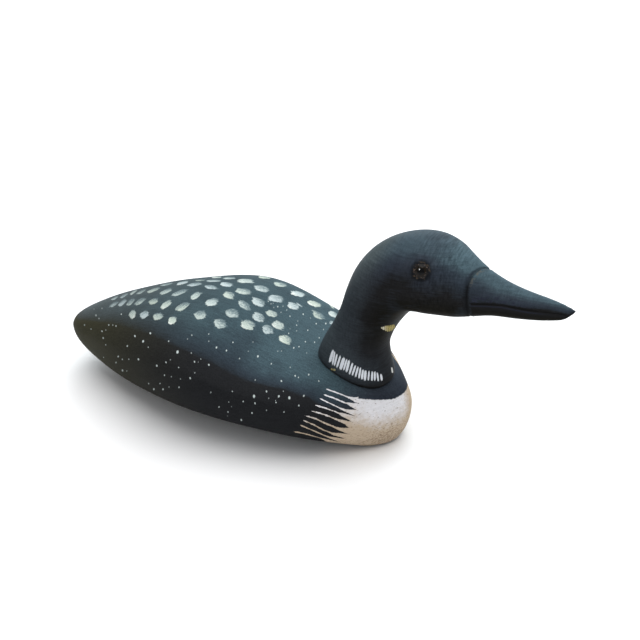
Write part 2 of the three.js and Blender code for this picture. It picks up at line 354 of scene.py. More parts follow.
headSkin = smoothSkin(plainHead(), "carved_head", head)
headSurface = surfaceOf(headSkin)


# Forward and height of the mouth's cut, read off the surface
def mouthLine():
    line = []
    for x, y in mouth["line"]:
        place = np.array(headSurface.ray_cast(viewPoint, rayThrough(x, y))[0])
        line.append(((place - headFoot) @ headForward, place[2]))
    return np.array(line)


mouthPoints = mouthLine()


# Height above the mouth's cut, large where there is none, and how open the cut is
def mouthDistance(points):
    forward = (points - headFoot) @ headForward
    distance = points[:, 2] - np.interp(forward, mouthPoints[:, 0], mouthPoints[:, 1])
    distance[forward < mouthPoints[0, 0] - mouth["width"] / 2] = far
    opening = np.clip((mouthPoints[-1, 0] + mouth["fade"] - forward) / mouth["fade"], 0, 1)
    return distance, opening


def nearCut(points, reach):
    nearGroove = np.abs(fromGroove(points)[0]) < reach + groove["margin"]
    return nearGroove | (np.abs(mouthDistance(points)[0]) < reach)


def refine(piece, chosen):
    editWhere(piece, "FACE", chosen)
    bpy.ops.mesh.subdivide(number_cuts=1)
    leaveEdit()


def mouthShare(points):
    cut, opening = mouthDistance(points)
    return opening * np.maximum(1 - np.abs(cut) / (mouth["width"] / 2), 0) ** groove["profile"]


def carveHead(piece):
    for reach, eyeReach in head["refined"]:
        points = facePoints(piece)
        refine(piece, nearCut(points, reach) | (eyeRadius(points) < eyeReach))
    refine(piece, gapsTo(bodySurface, facePoints(piece), head["highestFoot"]) < head["footRefined"])
    points = vertexPoints(piece)
    normals = readAll(piece.data.vertices, "normal")
    deep = np.maximum(grooveShare(points) * groove["depth"], mouthShare(points) * mouth["depth"])
    gap = gapsTo(bodySurface, points, head["highestFoot"]) / head["chamferReach"]
    deep = np.maximum(deep, head["footChamfer"] * np.maximum(1 - gap, 0) ** 2)
    points -= normals * deep[:, None]
    bowl = (socket["radius"] ** 2 + socket["depth"] ** 2) / (2 * socket["depth"])
    for eye in ("right", "left"):
        radius, height = fromEye(points, eye)
        inside = radius < socket["radius"]
        floor = bowl - socket["depth"] - np.sqrt(bowl ** 2 - np.minimum(radius, socket["radius"]) ** 2)
        sink = np.where(inside, np.minimum(floor - height, 0), 0)
        points += sink[:, None] * np.array(socket[eye]["facing"])
    piece.data.vertices.foreach_set("co", points.ravel())
    piece.data.update()


carveHead(headSkin)
headSurface = surfaceOf(headSkin)
print("head:", len(headSkin.data.polygons), "faces")

closePiece(bodySkin, "body")
closePiece(headSkin, "head")

# Glass eyes: a dome on a short shank
glassEye = {
    "radius": 4.4 * mm,
    "dome": 5.66 * mm,  # radius of the dome's curve
    "rise": 0.8 * mm,  # of its top above the seat
    "edge": -1.3 * mm,  # where the dome meets the shank
    "shank": 3 * mm,
    "segments": 48,
    "crease": 40,  # degrees
}


def makeEye(eye, name, node):
    bpy.ops.object.select_all(action="DESELECT")
    domeMiddle = (0, 0, glassEye["rise"] - glassEye["dome"])
    bpy.ops.mesh.primitive_uv_sphere_add(
        segments=glassEye["segments"], ring_count=glassEye["segments"], radius=glassEye["dome"],
        location=domeMiddle)
    piece = bpy.context.active_object
    piece.name = name
    piece.data.name = name
    bpy.ops.object.transform_apply(location=True, rotation=False, scale=False)
    editAll(piece)
    bpy.ops.mesh.bisect(plane_co=(0, 0, glassEye["edge"]), plane_no=(0, 0, 1), clear_inner=True)
    closeEnd(glassEye["shank"])
    disc = piece.data.uv_layers[0]
    disc.name = "disc"
    for loop in piece.data.loops:
        place = piece.data.vertices[loop.vertex_index].co
        disc.data[loop.index].uv = (place.x / glassEye["radius"], place.y / glassEye["radius"])
    bpy.ops.object.shade_smooth_by_angle(angle=math.radians(glassEye["crease"]))
    facing = Vector(socket[eye]["facing"])
    turn = facing.to_track_quat("Z", "Y").to_matrix().to_4x4()
    piece.matrix_world = Matrix.Translation(socket[eye]["seat"]) @ turn
    bpy.ops.object.transform_apply(location=True, rotation=True, scale=True)
    closePiece(piece, node)
    return piece


rightEye = makeEye("right", "glass_eye_right", "eye_right")
leftEye = makeEye("left", "glass_eye_left", "eye_left")
print("eyes set")

# Painted spots on the back: pixel of the middle, length, height and rise of the right end in degrees
spots = [
    (114.8, 298, 7.5, 2.5, 30), (124, 295.6, 9, 2.8, 32), (133.7, 292, 9, 3.2, 35),
    (141.5, 291.5, 10.5, 3.8, 30), (153.5, 290, 13, 4.5, 22), (165.8, 291.3, 12.5, 4.5, 25),
    (179.5, 292.5, 15.5, 5.6, 24), (195.5, 295.5, 11.5, 6.5, 35), (113.8, 304.3, 9, 3, 38),
    (122.5, 302.6, 10, 3.8, 42), (130.5, 302, 9.5, 4, 48), (140, 301.3, 12, 5, 38),
    (153.5, 301.3, 10, 5.5, 25), (166.3, 304.3, 12.5, 7, 32), (182.3, 306.5, 14, 6, 36),
    (200.5, 314.8, 12.5, 9, 18), (212, 302, 13, 8, 12), (132.5, 314, 8.5, 6, 55),
    (144.3, 314.5, 9.5, 6.5, 35), (157.8, 316.3, 10.5, 8, 20), (172.5, 320.5, 9, 6.5, 10),
    (166.5, 284.2, 12, 2, 15), (182.5, 282.8, 12, 2.3, 14), (194.5, 284.3, 13, 3.2, 12),
    (211, 287, 12, 3.8, -3), (200, 280.2, 10, 1.2, 5), (213.5, 280.7, 13, 1.8, 3),
    (216.5, 277.2, 10, 1.2, 4), (229.6, 278, 12, 2, 4), (226.3, 284.2, 13, 3.8, -6),
    (245.5, 280.7, 16.5, 4.8, -2), (243.3, 291.2, 16, 5.2, -5), (229, 294.9, 12, 6.5, -12),
    (244.3, 305, 13.5, 6.5, -25), (232.2, 313, 13.5, 8.8, 5), (220, 323.5, 13, 10, -10),
    (247.9, 324.8, 14, 9, -15), (264.6, 277.2, 12.5, 2.8, -4), (261.8, 288.4, 15, 5.8, -8),
    (258.3, 302, 13.5, 6.5, -20), (258.8, 317.3, 12.5, 8.5, -22), (267.8, 329.5, 11, 7.8, -5),
    (278.2, 324.9, 13, 7, -22), (285.2, 339.3, 13.5, 7.5, -28), (280.7, 284.4, 14, 5.5, -8),
    (276, 298.4, 15, 7, -8), (272, 313.6, 12, 5.5, -15), (298, 293.6, 14, 6.5, -12),
    (293.5, 306, 12, 6, -15), (299.5, 305, 8, 1.4, -32), (314.3, 303.7, 14, 5.5, -22),
    (318.3, 315.2, 12, 6, -22), (331.5, 305.7, 14.5, 1.3, -36), (333, 314, 9.5, 5, -25),
    (331.2, 322.3, 4, 3, 50),
]
# Flecks: pixel of the middle, height and strength
flecks = [
    (102, 308.3, 2, 0.4), (96, 315.3, 3, 0.4), (99, 318.5, 2.2, 0.4), (84.5, 325, 2.5, 0.4),
    (91, 329, 2, 0.5), (108.8, 325, 2.3, 0.6), (112.8, 325, 2, 0.5), (116, 326, 2.3, 0.6),
    (102, 331.2, 2.5, 0.6), (105.8, 330, 2, 0.4), (103.2, 338, 2.8, 0.6), (105.7, 344.8, 2, 0.6),
    (94, 309, 1.5, 0.4), (121.3, 314.2, 2, 0.9), (134.9, 336, 3, 0.95), (150.3, 333.2, 3, 1),
    (143.1, 341.3, 3.5, 1), (127.3, 346, 2.5, 0.8), (148.2, 347.2, 2, 0.6), (168.6, 341.2, 2.3, 0.8),
    (177.5, 352, 4.5, 1), (118.2, 356.5, 2.5, 0.8), (122.3, 359.3, 2.2, 0.6), (128.8, 359.2, 2, 0.6),
    (138.4, 359.3, 3, 1), (116, 362.5, 2.5, 0.5), (103.5, 357.4, 1.5, 0.6), (122.5, 370.5, 3, 0.8),
    (126.8, 371, 2, 0.5), (156.8, 365.7, 3, 1), (166, 362.3, 2.5, 1), (170.3, 359.8, 2, 0.5),
    (178.6, 367.5, 2, 0.9), (164.5, 375.2, 2.2, 0.9), (171.3, 376.7, 2, 0.6), (180.5, 379, 2, 0.5),
    (148.7, 383.6, 2, 0.7), (160, 383.5, 2, 0.7), (153.8, 389.2, 3, 0.8), (163, 389.3, 2.8, 0.8),
    (169, 387, 2, 0.5), (179, 387.3, 2.5, 0.8), (187.5, 339, 2, 0.5), (191.8, 335.2, 2.4, 0.6),
    (208.8, 334, 2, 0.8), (208.8, 341.2, 2, 0.6), (233, 342.3, 2.2, 0.95), (216.5, 347.5, 3, 1),
    (226.5, 350.5, 2.6, 1), (191.3, 353, 2.4, 0.5), (253, 342, 2, 0.4), (248.3, 351.3, 1.8, 0.4),
    (200.8, 359, 2, 0.5), (194.5, 361.7, 2.8, 0.8), (208.8, 364.8, 3, 0.85), (239.5, 358.5, 2.2, 0.7),
    (257.9, 356.3, 3.2, 1), (194.8, 372.8, 2.3, 0.5), (190.2, 378.2, 3.2, 0.95), (255.2, 380, 2, 0.7),
    (271.3, 363.8, 2.3, 0.95), (290.2, 367.3, 2, 0.6), (281.4, 381, 2.8, 1), (295.2, 375.8, 2.6, 1),
    (298.5, 377.4, 2, 0.8), (210.8, 392.4, 2.4, 0.6), (232.3, 391.4, 2.2, 0.7), (254, 396.3, 4.6, 1),
    (266.5, 391.4, 3, 0.8), (268.7, 398.3, 2, 0.5), (278.8, 396.3, 3.4, 0.9), (283.3, 391.2, 2, 0.5),
    (289.3, 397.8, 4.4, 1), (303.8, 395.8, 3, 0.95), (276, 402.4, 2.2, 1), (275.5, 400.5, 1.5, 0.6),
    (255, 403.3, 2.8, 1), (243.2, 401.5, 2.2, 1), (228.8, 402, 2, 0.6), (219, 407, 2.6, 0.8),
    (228, 412, 2.4, 0.7), (227.5, 416, 1.6, 0.3), (231.5, 406.7, 1.5, 0.4), (252, 413, 2.6, 1),
    (241.3, 420, 3, 0.9), (266.5, 410.3, 2.2, 0.6), (284, 412, 2.4, 0.8), (298.8, 405.6, 2.6, 0.9),
    (288.7, 333.3, 2, 0.95), (296.7, 330.8, 2, 0.5), (293.8, 347.8, 2.3, 1), (299, 346.7, 2, 0.95),
    (277.8, 351.2, 2, 0.5), (281.5, 351, 2, 0.4), (198.3, 362, 1.5, 0.4), (268.3, 301.3, 2, 0.7),
    (271, 303.8, 1.8, 0.6), (273.2, 303.3, 1.5, 0.5), (277.8, 306.6, 2.2, 0.9), (283, 306.2, 2, 0.5),
    (273.8, 307.5, 2, 0.4), (286.8, 310, 2, 0.6), (281, 312.3, 2, 0.5), (290, 316.2, 2, 0.9),
    (303.2, 314.2, 2.3, 1), (297.8, 321, 2, 0.4), (290, 328.7, 1.8, 0.3), (296.7, 325.2, 2, 0.9),
    (307.8, 330.2, 2, 0.95), (316.2, 323.7, 2.2, 0.9), (325.8, 323.5, 2.4, 1), (323.5, 329.5, 2, 0.6),
    (305.4, 341.7, 2, 0.9), (314.6, 342.2, 2, 0.9), (319.2, 337.8, 2, 0.8), (306.7, 353, 1.8, 0.4),
    (318.8, 381, 2.2, 0.9), (308.7, 374.6, 2.6, 1), (310.5, 318, 1.8, 0.4),
]
# Strokes on the neck: pixels of the two ends, width and tint, 0 for white and 1 for tan
strokes = [
    (333, 350.7, 329.8, 361.8, 2.2, 0), (334.7, 352, 332.5, 364.5, 1.4, 0),
    (337, 354.5, 334.3, 365.5, 1.4, 0), (340.3, 356.3, 336.8, 367.5, 1.5, 0),
    (343.8, 358.3, 340.5, 369, 2.6, 0), (346.7, 359.5, 343.7, 370, 1.4, 0), (349, 360.8, 346.5, 371.5, 2, 0),
    (352.5, 363.5, 349.5, 373.8, 1.6, 0), (355.3, 366, 352.3, 375, 1.5, 0),
    (358, 367.3, 355.5, 376.5, 1.5, 0), (360.5, 368, 359, 378, 1.5, 0), (363, 370.2, 361.8, 379, 1.7, 0),
    (365.5, 371, 364.8, 379.8, 2, 0), (369, 371.5, 368.3, 380, 1.3, 0), (372.3, 372, 371.8, 380.3, 1.5, 0),
    (374.8, 372, 374.8, 380.3, 1.5, 0), (377.3, 373.2, 378.3, 380.8, 1.4, 0),
    (381, 374.6, 381.8, 380, 1.6, 0), (391.8, 367.8, 392.6, 372.5, 1.1, 0.3),
    (381.6, 327.6, 382.4, 328.3, 1.2, 0.7), (383.4, 327.2, 383.8, 329.6, 1.5, 0.65),
    (385.3, 326.4, 385.9, 330.6, 1.3, 0.85), (387.1, 326, 387.7, 331.3, 1.3, 0.95),
    (389, 325.8, 389.5, 331.3, 1.2, 1), (390.8, 325.5, 391.2, 330.8, 1.2, 1),
    (392.4, 325.2, 392.8, 330, 1.1, 1), (393.9, 325, 394.2, 328.3, 1, 1),
    (331.2, 369, 332.8, 369.7, 1.3, 0.95), (333.6, 369.6, 335, 370.2, 1.6, 0.9),
]
marks = {
    "longest": 6.5 * mm,  # half length of a mark, which the grazing view at the ridge would stretch
    "highest": 4.5 * mm,
    "reach": 16 * mm,
    "fleckWidth": 0.7,  # share of the height
    "strokeSpread": 1.35,  # of the neck's strokes beyond the measured width
    "shift": 0.5 * mm,  # of the marks on the unseen side
    "lean": 7,  # degrees
    "growth": 0.12,
    "drops": (0, 0.7, 1.4, 2.4),  # pixels further down, for a mark at the ridge that misses the surface
    "step": 0.05,  # share of a half axis
    "hidden": 1.5 * mm,  # behind the nearest surface
    "fleckTurn": 25,  # degrees
    "outside": (9.0, 9.0, 0.0),  # where there is no mark
    # Distance that a twin keeps from the measured marks, and how far round a mark its place is laid
    "spots": {"clearance": 7.5 * mm, "slack": 2.4 * mm},
    "flecks": {"clearance": 2.5 * mm, "slack": 1.8 * mm},
    "strokes": {"clearance": 1 * mm, "slack": 1.2 * mm},
}


# A mark as its place on the surface and the two half axes there
def measured(surface, x, y, length, height, rise, value):
    for drop in marks["drops"]:
        place, normal, _, _ = surface.ray_cast(viewPoint, rayThrough(x, y + drop))
        if place is not None:
            break
    angle = math.radians(rise)
    step = marks["step"]

    def halfAxis(dx, dy, most):
        ray = rayThrough(x + dx * step, y + drop + dy * step)
        onPlane = viewPoint + ray * ((place - viewPoint).dot(normal) / ray.dot(normal))
        axis = (onPlane - place) / step
        return np.array(axis * min(1, most / axis.length))

    along = halfAxis(math.cos(angle) * length / 2, -math.sin(angle) * length / 2, marks["longest"])
    across = halfAxis(math.sin(angle) * height / 2, math.cos(angle) * height / 2, marks["highest"])
    return {"place": np.array(place), "along": along, "across": across, "value": value}


def mirrored(vector, normal):
    return vector - 2 * (vector @ normal) * normal


# The same mark on the other side, a little different as by hand
def twin(mark, origin, normal):
    lean = math.radians(random.uniform(-marks["lean"], marks["lean"]))
    growth = 1 + random.uniform(-marks["growth"], marks["growth"])
    along, across = mirrored(mark["along"], normal), mirrored(mark["across"], normal)
    shift = [random.uniform(-1, 1) * marks["shift"] / np.linalg.norm(axis) for axis in (along, across)]
    size = np.linalg.norm(along) / np.linalg.norm(across)
    return {
        "place": origin + mirrored(mark["place"] - origin, normal) + along * shift[0] + across * shift[1],
        "along": (along * math.cos(lean) + across * math.sin(lean) * size) * growth,
        "across": (across * math.cos(lean) - along * math.sin(lean) / size) * growth,
        "value": mark["value"],
    }


def unseen(place):
    ray = Vector(place) - viewPoint
    hits = [surface.ray_cast(viewPoint, ray.normalized())[3] for surface in (bodySurface, headSurface)]
    return min(hit or far for hit in hits) < ray.length - marks["hidden"]


# Gives the near side's marks to the other side too, where the photograph doesn't show it, and lays all
def layBothSides(piece, name, measuredMarks, origin, normal):
    everyMark = list(measuredMarks)
    for mark in measuredMarks:
        other = twin(mark, origin, normal)
        nearest = min(np.linalg.norm(other["place"] - m["place"]) for m in measuredMarks)
        if unseen(other["place"]) and nearest > marks[name]["clearance"]:
            everyMark.append(other)
    layMarks(piece, name, everyMark)


# Writes at each face corner where it lies in the nearest mark: -1 to 1 along and across, with the value
def layMarks(piece, name, everyMark):
    centres = facePoints(piece)
    nearest = np.full(len(centres), marks[name]["slack"])
    owner = np.full(len(centres), -1)
    flats = [np.linalg.pinv(np.array((m["along"], m["across"])).T) for m in everyMark]
    for index, mark in enumerate(everyMark):
        d = centres - mark["place"]
        close = np.nonzero((d ** 2).sum(1) < marks["reach"] ** 2)[0]
        u, v = flats[index] @ d[close].T
        size = min(np.linalg.norm(mark["along"]), np.linalg.norm(mark["across"]))
        away = (np.hypot(u, v) - 1) * size
        better = away < nearest[close]
        nearest[close[better]] = away[better]
        owner[close[better]] = index
    points = vertexPoints(piece)[readAll(piece.data.loops, "vertex_index", 1).astype(int)]
    cornerOwner = np.repeat(owner, readAll(piece.data.polygons, "loop_total", 1).astype(int))
    values = np.tile(marks["outside"], (len(points), 1))
    for index, mark in enumerate(everyMark):
        mine = cornerOwner == index
        u, v = flats[index] @ (points[mine] - mark["place"]).T
        values[mine] = np.stack((u, v, np.full(len(u), mark["value"])), 1)
    layer = piece.data.attributes.new(name, "FLOAT_VECTOR", "CORNER")
    layer.data.foreach_set("vector", values.ravel())


def layZones(piece, name, *columns):
    layer = piece.data.attributes.new(name, "FLOAT_VECTOR", "POINT")
    layer.data.foreach_set("vector", np.stack(columns, 1).ravel())


def paintMarks():
    origin, sideways = np.zeros(3), np.array((0.0, 1.0, 0.0))
    spotMarks = [measured(bodySurface, *spot, random.random()) for spot in spots]
    layBothSides(bodySkin, "spots", spotMarks, origin, sideways)
    fleckMarks = []
    for x, y, height, strength in flecks:
        rise = 90 + random.uniform(-marks["fleckTurn"], marks["fleckTurn"])
        fleckMarks.append(measured(bodySurface, x, y, height, height * marks["fleckWidth"], rise, strength))
    layBothSides(bodySkin, "flecks", fleckMarks, origin, sideways)
    strokeMarks = []
    for x0, y0, x1, y1, width, tint in strokes:
        width *= marks["strokeSpread"]
        length = math.hypot(x1 - x0, y1 - y0) + width / 2
        rise = math.degrees(math.atan2(y0 - y1, x1 - x0))
        strokeMarks.append(measured(headSurface, (x0 + x1) / 2, (y0 + y1) / 2, length, width, rise, tint))
    layBothSides(headSkin, "strokes", strokeMarks, headFoot, headSide)


# Fine faces for the strokes of the collar
heights = facePoints(headSkin)[:, 2]
refine(headSkin, (heights > head["collar"][0]) & (heights < head["collar"][1]))
headSurface = surfaceOf(headSkin)
paintMarks()
print("marks laid")

# White lines that run from the shoulder into the white breast: pixels from the left tip to the right end
fan = {
    "lines": [
        [(325.5, 388.8), (335, 392), (345, 396), (353, 398.5), (360.5, 400.5)],
        [(322.8, 394.3), (333, 397.7), (343, 402), (352, 405.5), (358.3, 406.9)],
        [(319.5, 398), (330, 403.5), (340, 408.3), (349, 411), (355.8, 412.9)],
        [(314.5, 405), (325, 408), (335, 411.5), (345, 415.5), (354.2, 419.3)],
        [(310.8, 410.8), (321, 413.5), (331, 417), (341, 421.5), (352.8, 425.5)],
        [(305, 415.7), (315, 418.5), (325, 423.3), (336, 427.5), (349.9, 431.4)],
        [(302.8, 420), (313, 424.5), (323, 430), (334, 434), (349.4, 437.3)],
        [(299.5, 424.5), (309, 428.7), (319, 433), (330, 438), (345.5, 441.1)],
        [(293.5, 431.5), (303, 433.3), (313, 436), (324, 439), (336, 443.5)],
    ],
    "steps": 24,
    "left": 285,
    "right": 375,
    "top": 380,
    "bottom": 455,
    # The search for a pixel's place along and across: its start, tries, longest step and limits
    "start": (0.5, 4.0),
    "tries": 14,
    "small": 0.01,
    "longest": (0.4, 2),
    "limits": ((-1, 2), (-4, 12)),
    "capeSide": [-45, -36, -31.2, -24.6, -16.2, -10.6, -4.1, 4.4, 12, 20, 25, 29, 33, 45],  # mm across
    "capeEdge": [53, 46.5, 43.2, 40.2, 37.3, 36, 35.4, 34.7, 33.8, 31.5, 31.5, 35, 41, 53],  # mm up
}


# The lines at even steps, as a grid that is read between lines and past its ends
def fanGrid():
    grid = []
    for line in fan["lines"]:
        line = np.array(line)
        run = np.concatenate(([0], np.cumsum(np.hypot(*np.diff(line, axis=0).T))))
        even = np.linspace(0, run[-1], fan["steps"] + 1)
        grid.append(np.stack([np.interp(even, run, line[:, c]) for c in (0, 1)], 1))
    return np.array(grid)


def fanPoint(grid, along, across):
    step = np.clip(np.floor(along * fan["steps"]), 0, fan["steps"] - 1).astype(int)
    line = np.clip(np.floor(across), 0, len(grid) - 2).astype(int)
    a = (along * fan["steps"] - step)[:, None]
    b = (across - line)[:, None]
    first = grid[line, step] * (1 - a) + grid[line, step + 1] * a
    second = grid[line + 1, step] * (1 - a) + grid[line + 1, step + 1] * a
    return first * (1 - b) + second * b


# How far along the lines (0 to 1) and across them (counted in lines) each pixel lies
def fanPlaces(x, y):
    grid = fanGrid()
    target = np.stack((x, y), 1)
    along, across = (np.full(len(x), value) for value in fan["start"])
    small = fan["small"]
    most, mostAcross = fan["longest"]
    for _ in range(fan["tries"]):
        here = fanPoint(grid, along, across)
        byAlong = (fanPoint(grid, along + small, across) - here) / small
        byAcross = (fanPoint(grid, along, across + small) - here) / small
        off = target - here
        area = byAlong[:, 0] * byAcross[:, 1] - byAlong[:, 1] * byAcross[:, 0]
        stepAlong = (off[:, 0] * byAcross[:, 1] - off[:, 1] * byAcross[:, 0]) / area
        stepAcross = (byAlong[:, 0] * off[:, 1] - byAlong[:, 1] * off[:, 0]) / area
        along = np.clip(along + np.clip(stepAlong, -most, most), *fan["limits"][0])
        across = np.clip(across + np.clip(stepAcross, -mostAcross, mostAcross), *fan["limits"][1])
    return along, across


def paintFan():
    points = vertexPoints(bodySkin)
    side = points[:, 1].copy()
    points[:, 1] = -np.abs(side)
    x, y = pixelsOf(points)
    along, across = np.where(x > fan["right"], 2.0, -1.0), np.full(len(x), 0.5)
    inside = (x > fan["left"]) & (x <= fan["right"]) & (y > fan["top"]) & (y < fan["bottom"])
    inside &= points[:, 0] > 0
    along[inside], across[inside] = fanPlaces(x[inside], y[inside])
    cape = np.interp(side / mm, fan["capeSide"], fan["capeEdge"]) - points[:, 2] / mm
    layZones(bodySkin, "fan", along, across, cape)


paintFan()

# Where the painted sheen lies, the sole is bare, the cuts get painted shade and the eyes have rims.
# The painted sheen stands in for the light from above and behind; it follows the skin's tilt, from low to
# high, at places along the body (x) or the head (forward).
paintedSheenAndSole = {
    "evening": 6,
    "bodyLean": 0.2,  # towards the left side, where the painted sheen reaches further down
    "bodyPlaces": [-175, -120, -60, -10, 8, 22, 38, 50, 60, 75],  # mm
    "bodyLow": [0.6, 0.68, 0.72, 0.77, 0.82, 0.82, 0.72, 0.42, 0.15, 0.25],
    "bodyHigh": [0.9, 0.98, 0.98, 0.92, 0.94, 0.95, 0.94, 0.92, 1.0, 1.15],
    "headPlaces": [-12, 20, 44, 65, 80, 93, 138],
    "headLow": [-1.0, -0.5, 0.08, -0.15, -0.25, -0.3, -0.2],
    "headHigh": [1.05, 0.75, 1.0, 0.75, 0.65, 0.8, 0.95],
    "throat": 0.4,  # how much less painted sheen the front of the neck has
    "throatTop": 0.118,
    "throatFade": 0.02,
    "sole": (0.7, 0.95),
    "belowGroove": -0.1,
}


def smoothNormals(piece, times):
    normals = readAll(piece.data.vertices, "normal")
    ends = readAll(piece.data.edges, "vertices", 2).astype(int)
    count = np.bincount(ends.ravel(), minlength=len(normals))[:, None]
    for _ in range(times):
        total = [
            np.bincount(ends[:, 0], column[ends[:, 1]], len(normals))
            + np.bincount(ends[:, 1], column[ends[:, 0]], len(normals)) for column in normals.T]
        normals = np.stack(total, 1) / count
    return normals


def easeIn(values, low, high):
    share = np.clip((values - low) / (high - low), 0, 1)
    return share * share * (3 - 2 * share)


def paintedSheenShare(tilt, along, kind):
    places = paintedSheenAndSole[kind + "Places"]
    low, high = (np.interp(along / mm, places, paintedSheenAndSole[kind + end]) for end in ("Low", "High"))
    return easeIn(tilt, low, high)


def paintBodyZones():
    normals = smoothNormals(bodySkin, paintedSheenAndSole["evening"])
    lean = paintedSheenAndSole["bodyLean"]
    tilt = (normals[:, 2] + lean * normals[:, 1]) / math.hypot(1, lean)
    faded = paintedSheenShare(tilt, vertexPoints(bodySkin)[:, 0], "body")
    layZones(bodySkin, "zones", faded, easeIn(-normals[:, 2], *paintedSheenAndSole["sole"]), normals[:, 2])


def paintHeadZones():
    normals = smoothNormals(headSkin, paintedSheenAndSole["evening"])
    points = vertexPoints(headSkin)
    forward = (points - headFoot) @ headForward
    onNeck = easeIn(paintedSheenAndSole["throatTop"] - points[:, 2], 0, paintedSheenAndSole["throatFade"])
    tilt = normals[:, 2] - paintedSheenAndSole["throat"] * onNeck * np.maximum(normals @ headForward, 0)
    deep = np.maximum(grooveShare(points), mouthShare(points))
    layZones(headSkin, "zones", paintedSheenShare(tilt, forward, "head"), deep, normals[:, 2])
    gap = gapsTo(bodySurface, points, head["highestFoot"])
    layZones(headSkin, "rims", eyeRadius(points) / mm, gap / mm, forward / mm)
    fromCut = np.where(points[:, 2] < groove["lowest"], paintedSheenAndSole["belowGroove"], fromGroove(points)[0])
    layZones(headSkin, "cuts", fromCut / mm, mouthDistance(points)[0] / mm, points[:, 2] / mm)


paintBodyZones()
paintHeadZones()
print("zones laid")


# Helpers for materials. A socket knows the nodes that it belongs to.
def treeOf(values):
    return next(value.id_data for value in values if isinstance(value, bpy.types.NodeSocket))


def shade(colour):
    values = [(c / 255 / 12.92) if c < 11 else ((c / 255 + 0.055) / 1.055) ** 2.4 for c in colour]
    return (*values, 1)


def newMaterial(name):
    material = bpy.data.materials.new(name)
    material.use_nodes = True
    return material, material.node_tree


# Links a socket to a plug, or sets the plug. A colour without alpha is from 0 to 255.
def put(plug, value):
    if isinstance(value, bpy.types.NodeSocket):
        plug.id_data.links.new(value, plug)
    else:
        plug.default_value = shade(value) if plug.type == "RGBA" and len(value) == 3 else value


def fill(node, plugs):
    for key, value in plugs.items():
        put(node.inputs[key], value)


def add(tree, kind, *values, **settings):
    made = tree.nodes.new("ShaderNode" + kind)
    for key, value in settings.items():
        setattr(made, key, value)
    for plug, value in zip(made.inputs, values):
        put(plug, value)
    return made


def calc(operation, *values):
    return add(treeOf(values), "Math", *values, operation=operation).outputs[0]


def ramp(value, low, high, start=0.0, end=1.0):
    made = add(value.id_data, "MapRange", value, low, high, start, end, interpolation_type="SMOOTHSTEP")
    return made.outputs[0]


def mix(share, first, second):
    made = add(share.id_data, "Mix", share, data_type="RGBA")
    colours = [plug for plug in made.inputs if plug.type == "RGBA"]
    put(colours[0], first)
    put(colours[1], second)
    return next(socket for socket in made.outputs if socket.type == "RGBA")


def stretch(vector, factors):
    return add(vector.id_data, "VectorMath", vector, factors, operation="MULTIPLY").outputs[0]


def split(vector):
    return add(vector.id_data, "SeparateXYZ", vector).outputs[:]


# Noise from -0.5 to 0.5, at one scale or at one for each axis
def noise(vector, scale, detail):
    if isinstance(scale, tuple):
        vector = stretch(vector, scale)
        scale = 1
    made = add(vector.id_data, "TexNoise")
    fill(made, {"Vector": vector, "Scale": scale, "Detail": detail})
    return calc("SUBTRACT", made.outputs[0], 0.5)


# The ways to work out a paint's values from others, which are named in rows: (name, low, high) is a smooth
# rise from 0 to 1 over that range, (name, low, high, start, end) a change from start to end, and (name,)
# the value itself. In a sum, (name, share) is the value times its share.
def multiply(values, share, *rows):
    for key, *ends in rows:
        share = calc("MULTIPLY", share, ramp(values[key], *ends) if ends else values[key])
    return share


def addUp(values, total, *rows):
    for key, *ends in rows:
        if len(ends) == 1:
            total = calc("MULTIPLY_ADD", values[key], *ends, total)
        else:
            total = calc("ADD", total, ramp(values[key], *ends))
    return total


def work(values, operation, *terms):
    return calc(operation, *(values.get(term, term) for term in terms))


# Distance from the middle of a mark: 1 at the edge of an ellipse, or of a rounded box for more than 2
def radiusOf(values, u, v, boxiness=2):
    powers = [calc("POWER", calc("ABSOLUTE", values[key]), boxiness) for key in (u, v)]
    return calc("POWER", calc("ADD", *powers), 1 / boxiness)


def noiseAt(values, scale, detail):
    return noise(values["place"], scale, detail)


def noiseOver(values, detail, *rows):
    scaled = [calc("MULTIPLY", values[key], scale) for key, scale in rows]
    return noise(add(scaled[0].id_data, "CombineXYZ", *scaled).outputs[0], 1, detail)


def fromWholeNumber(values, key, last):
    number = calc("ROUND", calc("MINIMUM", calc("MAXIMUM", values[key], 0), last))
    return calc("ABSOLUTE", calc("SUBTRACT", values[key], number))


def randomByNumber(values, key):
    made = add(values[key].id_data, "TexWhiteNoise", noise_dimensions="1D")
    put(made.inputs["W"], calc("FLOOR", values[key]))
    return calc("SUBTRACT", made.outputs[0], 0.5)


# Lays paints over a colour in turn, each with its cover and the rows that limit it
def layPaints(values, colour, *paints):
    colour = values.get(colour, colour)
    for paint, cover, *rows in paints:
        colour = mix(multiply(values, cover, *rows), colour, values.get(paint, paint))
    return colour


def brighten(values, colour, *brightness):
    factor = addUp(values, *brightness)
    colour = values[colour] if colour in values else shade(colour)[:3]
    made = add(factor.id_data, "VectorMath", colour, operation="SCALE")
    put(made.inputs["Scale"], factor)
    return made.outputs[0]


# Gives pieces a material. It reads the layers on their mesh, or the disc of an eye, and works out the
# paint's values in their order.
def dress(pieces, name, layers, paint, gloss):
    material, tree = newMaterial(name)
    if layers:
        place = stretch(add(tree, "TexCoord").outputs["Object"], (1 / mm,) * 3)
    else:
        place = add(tree, "UVMap", uv_map="disc").outputs[0]
    values = {"place": place, **dict(zip("xyz", split(place)))}
    for layer, keys in layers.items():
        values.update(zip(keys, split(add(tree, "Attribute", attribute_name=layer).outputs["Vector"])))
    for key, (way, *terms) in paint.items():
        values[key] = way(values, *terms)
    plugs = {"Base Color": values["colour"], "Roughness": values["roughness"], **gloss}
    if "relief" in values:
        bump = add(tree, "Bump")
        fill(bump, {"Distance": reliefDepth, "Height": values["relief"]})
        plugs["Normal"] = bump.outputs[0]
    fill(tree.nodes["Principled BSDF"], plugs)
    for piece in pieces:
        piece.data.materials.clear()
        piece.data.materials.append(material)
